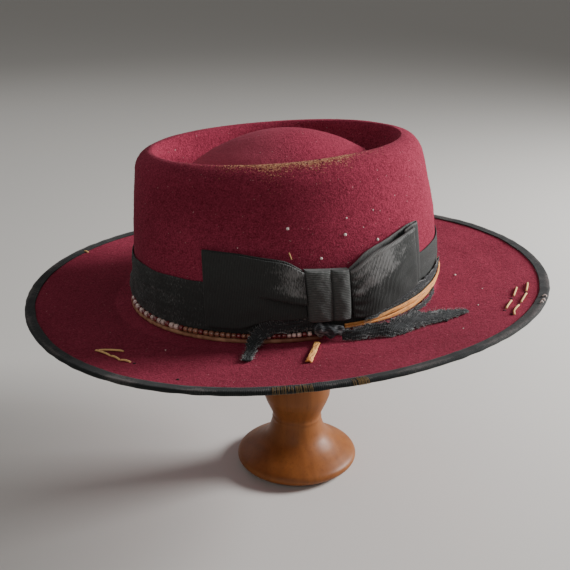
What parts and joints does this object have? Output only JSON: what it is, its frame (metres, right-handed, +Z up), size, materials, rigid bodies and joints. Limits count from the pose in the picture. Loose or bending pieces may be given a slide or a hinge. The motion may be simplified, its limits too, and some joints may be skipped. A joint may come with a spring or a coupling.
{
  "type": "wide-brim felt hat on a turned wooden stand",
  "caption": "Wide-brim felt hat with a telescoped crown, ribbon band and bow, bead string, leather cord and torn strips, resting on a small turned wooden stand.",
  "frame": {"origin": "centre of the stand's foot, on the surface that it stands on", "axes": "+Z up, -X towards the hat's front, -Y towards the side with the bow"},
  "size_m": [0.3446, 0.312, 0.2423],
  "materials": {
    "felt": "burgundy wool felt, short nap, worn golden along the rim",
    "binding": "charcoal ribbon folded over the edge, frayed",
    "ribbon": "charcoal ribbed ribbon, abraded to grey",
    "cord": "round brown leather cord, matt",
    "beads": "small beads, pale pink, dark red and brown, soft gloss",
    "lace": "split tan lace, fibrous",
    "torn_cloth": "torn charcoal cloth with frayed grey edges",
    "wood": "turned wood, warm brown, satin polish"
  },
  "bodies": {
    "root": {"felt_body": "felt", "brim_binding": "binding", "ribbon_band": "ribbon", "bow_left": "ribbon", "bow_right": "ribbon", "bow_knot": "ribbon", "leather_cord": "cord", "bead_string": "beads", "tan_lace": "lace", "lace_end": "lace", "torn_left": "torn_cloth", "torn_upper": "torn_cloth", "torn_tail": "torn_cloth", "torn_knot": "torn_cloth", "wooden_stand": "wood"}
  },
  "joints": []
}
